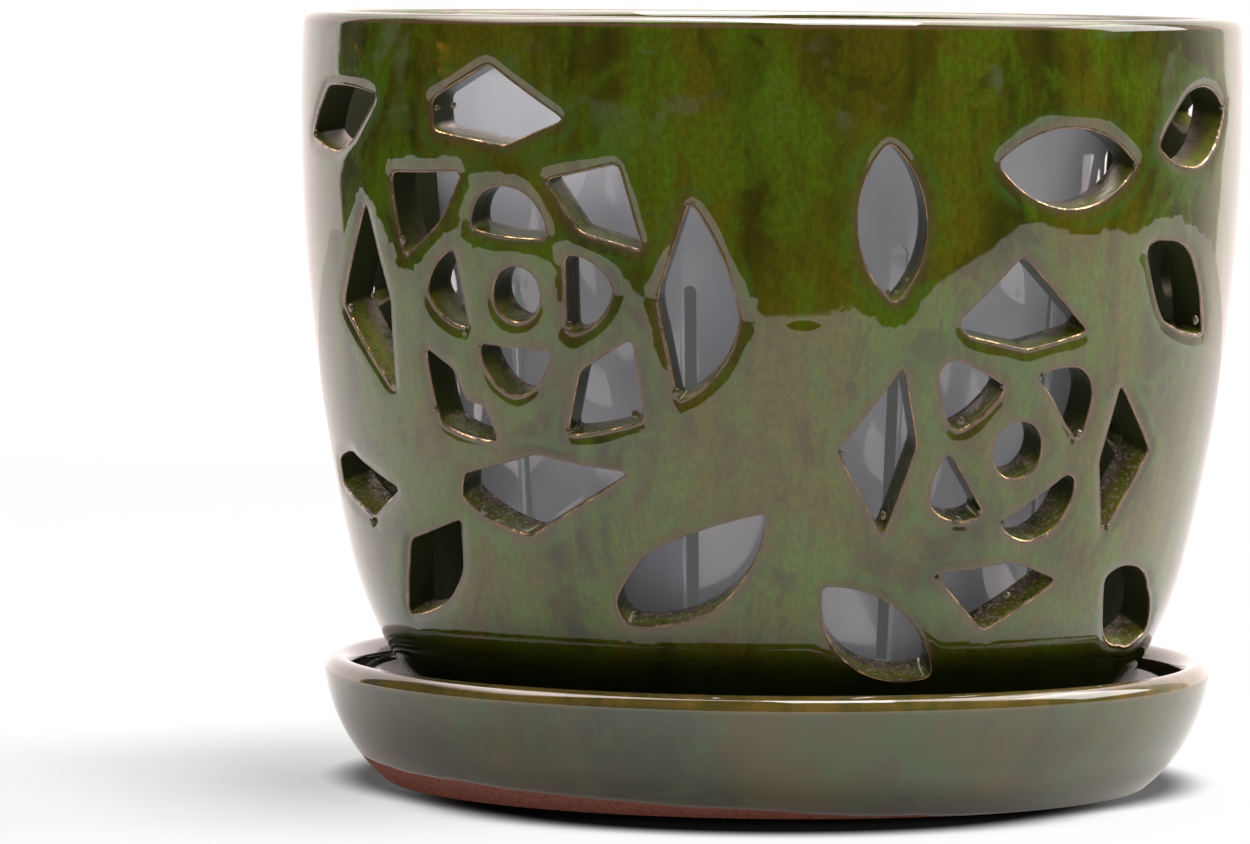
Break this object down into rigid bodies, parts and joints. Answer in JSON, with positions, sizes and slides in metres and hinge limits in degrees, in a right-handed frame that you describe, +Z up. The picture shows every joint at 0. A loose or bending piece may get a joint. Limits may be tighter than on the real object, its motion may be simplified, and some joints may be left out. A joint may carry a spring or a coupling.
{
  "type": "orchid pot with slots",
  "caption": "Green glazed round orchid pot with hand-cut flower and leaf openings in its wall, a slotted plastic liner inside and a matching glazed saucer under it.",
  "frame": {"origin": "on the table, under the middle of the saucer", "axes": "+Z up, along the common axis of saucer, pot and liner; -Y is the side the picture shows"},
  "size_m": [0.1786, 0.1786, 0.145],
  "materials": {
    "pot_glaze": "glossy green glaze with olive streaks",
    "saucer_glaze": "glossy green glaze over a bare red clay foot",
    "liner_plastic": "frosted grey plastic"
  },
  "bodies": {
    "saucer": {"saucer": "saucer_glaze"},
    "pot": {"pot": "pot_glaze"},
    "liner": {"liner": "liner_plastic"}
  },
  "joints": [
    {"name": "pot_lift", "type": "slide", "parent": "saucer", "child": "pot", "axis": [0, 0, 1], "range_m": [0, 0.05]},
    {"name": "liner_lift", "type": "slide", "parent": "pot", "child": "liner", "axis": [0, 0, 1], "range_m": [0, 0.15]}
  ]
}
